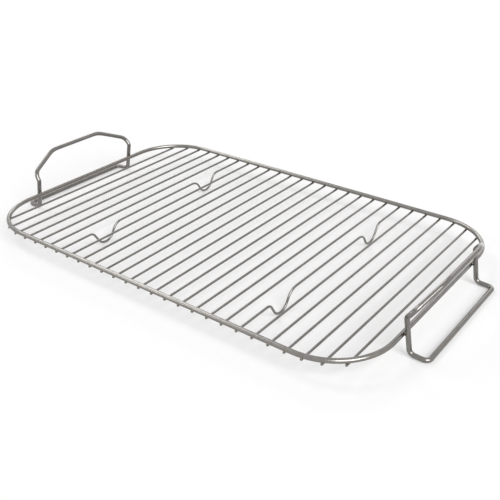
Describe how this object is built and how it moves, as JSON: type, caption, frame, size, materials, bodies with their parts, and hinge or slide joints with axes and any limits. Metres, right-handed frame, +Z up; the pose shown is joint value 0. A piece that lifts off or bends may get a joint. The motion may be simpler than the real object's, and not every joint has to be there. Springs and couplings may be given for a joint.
{
  "type": "roasting rack",
  "caption": "Flat welded wire roasting rack with a rounded rim, thin cross wires, two of them bent into feet, and a closed wire handle loop at each end",
  "frame": {"origin": "bottom centre of the bounding box, on the floor under the middle of the rack", "axes": "+X runs along the rack towards the right handle, +Y across it towards the back, +Z up"},
  "size_m": [0.441, 0.259, 0.0532],
  "materials": {
    "steel": "satin, electropolished 4 mm wire",
    "thin_steel": "satin, electropolished 2 mm wire"
  },
  "bodies": {
    "root": {"rim": "steel", "cross_wire_01": "thin_steel", "cross_wire_02": "thin_steel", "cross_wire_03": "thin_steel", "cross_wire_04": "thin_steel", "cross_wire_05": "thin_steel", "cross_wire_06": "thin_steel", "foot_wire_left": "thin_steel", "cross_wire_08": "thin_steel", "cross_wire_09": "thin_steel", "cross_wire_10": "thin_steel", "cross_wire_11": "thin_steel", "cross_wire_12": "thin_steel", "cross_wire_13": "thin_steel", "cross_wire_14": "thin_steel", "cross_wire_15": "thin_steel", "cross_wire_16": "thin_steel", "cross_wire_17": "thin_steel", "cross_wire_18": "thin_steel", "cross_wire_19": "thin_steel", "cross_wire_20": "thin_steel", "foot_wire_right": "thin_steel", "cross_wire_22": "thin_steel", "cross_wire_23": "thin_steel", "cross_wire_24": "thin_steel", "cross_wire_25": "thin_steel", "cross_wire_26": "thin_steel", "cross_wire_27": "thin_steel", "handle_left": "steel", "handle_right": "steel"}
  },
  "joints": []
}
